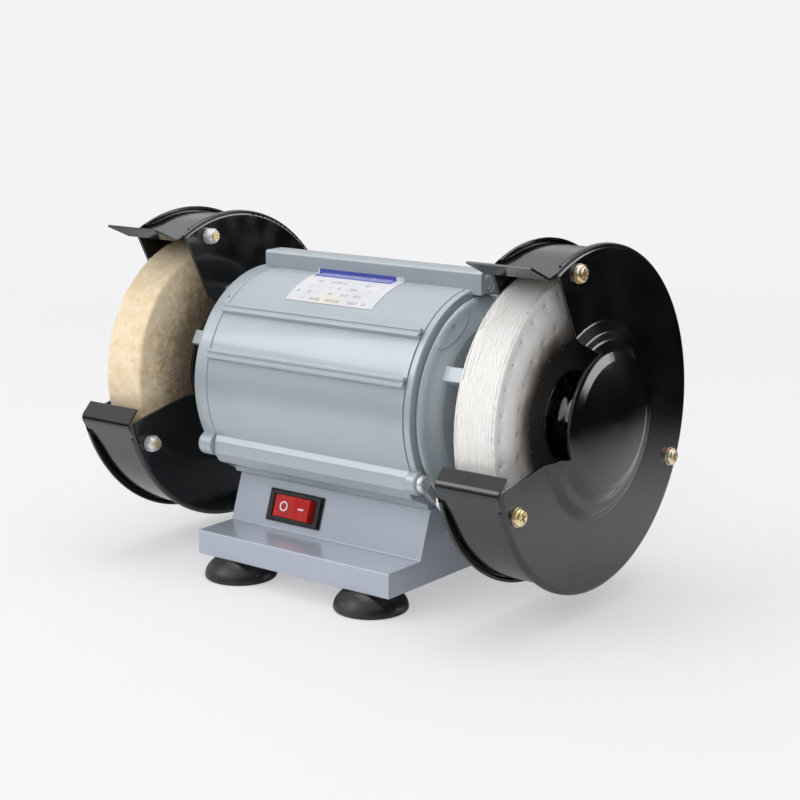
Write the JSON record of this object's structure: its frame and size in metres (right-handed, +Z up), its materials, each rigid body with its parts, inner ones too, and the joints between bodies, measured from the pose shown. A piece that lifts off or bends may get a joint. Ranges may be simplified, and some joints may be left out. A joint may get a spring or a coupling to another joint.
{
  "type": "bench grinder",
  "caption": "Small bench grinder set up for polishing: ribbed motor on a hollow base, guarded felt wheel on the left and cloth buff on the right, rocker switch in front.",
  "frame": {"origin": "on the surface that the feet stand on, straight under the middle of the motor shaft", "axes": "+X along the motor shaft towards the cloth buff, +Y to the back, away from the switch, +Z up"},
  "size_m": [0.258, 0.1481, 0.161],
  "materials": {
    "black_plastic": "fine texture",
    "body_paint": "gloss enamel",
    "cast_aluminium": "cast",
    "copper": "enamelled copper wire",
    "cotton": "stitched cotton cloth",
    "felt": "pressed wool felt",
    "grey_plastic": "moulded",
    "guard_paint": "gloss black enamel",
    "label": "printed film",
    "lamination": "stacked laminations",
    "red_plastic": "moulded",
    "rubber": "smooth",
    "steel": "turned",
    "zinc_silver": "clear zinc plate",
    "zinc_yellow": "yellow zinc plate"
  },
  "bodies": {
    "stand": {"base_shell": "body_paint", "bearing_shields": "steel", "bottom_plate": "zinc_silver", "bottom_plate_screws": "zinc_silver", "cable_gland": "black_plastic", "capacitor_screw": "zinc_silver", "foot_front_left": "rubber", "foot_front_right": "rubber", "foot_nuts": "zinc_silver", "foot_rear_left": "rubber", "foot_rear_right": "rubber", "foot_screws": "zinc_silver", "foot_washers": "zinc_silver", "gland_nut": "black_plastic", "guard_flat_washers": "zinc_yellow", "guard_mount_screws": "zinc_silver", "guard_nuts": "zinc_silver", "guard_screws": "zinc_yellow", "housing_screws": "zinc_silver", "lead_grommet": "rubber", "left_bearing_outer_race": "steel", "left_end_bell": "body_paint", "left_guard_cover": "guard_paint", "left_guard_inner_plate": "guard_paint", "left_guard_rim": "guard_paint", "motor_housing": "body_paint", "rating_plate": "label", "right_bearing_outer_race": "steel", "right_end_bell": "body_paint", "right_guard_cover": "guard_paint", "right_guard_inner_plate": "guard_paint", "right_guard_rim": "guard_paint", "run_capacitor": "grey_plastic", "stator_core": "lamination", "stator_winding": "copper", "switch_frame": "black_plastic", "switch_terminals": "zinc_silver", "terminal_block": "black_plastic", "tie_bolts": "zinc_silver", "wave_washer": "steel"},
    "rotor": {"motor_shaft": "steel", "rotor_core": "lamination", "rotor_cage": "cast_aluminium", "left_bearing_inner_race": "steel", "right_bearing_inner_race": "steel", "left_inner_flange": "steel", "right_inner_flange": "steel", "left_outer_flange": "steel", "right_outer_flange": "steel", "left_wheel_nut": "steel", "right_wheel_nut": "steel", "felt_wheel": "felt", "cloth_buff": "cotton"},
    "left_ball_set": {"left_bearing_balls": "steel", "left_bearing_cage": "black_plastic"},
    "right_ball_set": {"right_bearing_balls": "steel", "right_bearing_cage": "black_plastic"},
    "rocker": {"switch_rocker": "red_plastic"}
  },
  "joints": [
    {"name": "rotor_spin", "type": "hinge", "parent": "stand", "child": "rotor", "pos_m": [0, 0, 0.086], "axis": [1, 0, 0], "continuous": true},
    {"name": "left_balls_roll", "type": "hinge", "parent": "stand", "child": "left_ball_set", "pos_m": [-0.0585, 0, 0.086], "axis": [1, 0, 0], "continuous": true},
    {"name": "right_balls_roll", "type": "hinge", "parent": "stand", "child": "right_ball_set", "pos_m": [0.0585, 0, 0.086], "axis": [1, 0, 0], "continuous": true},
    {"name": "rocker_tip", "type": "hinge", "parent": "stand", "child": "rocker", "pos_m": [-0.0188, -0.0348, 0.03139], "axis": [0, 0.3228, 0.9465], "range_deg": [0, 16]}
  ],
  "couplings": [
    {"joint": "left_balls_roll", "follows": "rotor_spin", "ratio": 0.38},
    {"joint": "right_balls_roll", "follows": "rotor_spin", "ratio": 0.38}
  ]
}
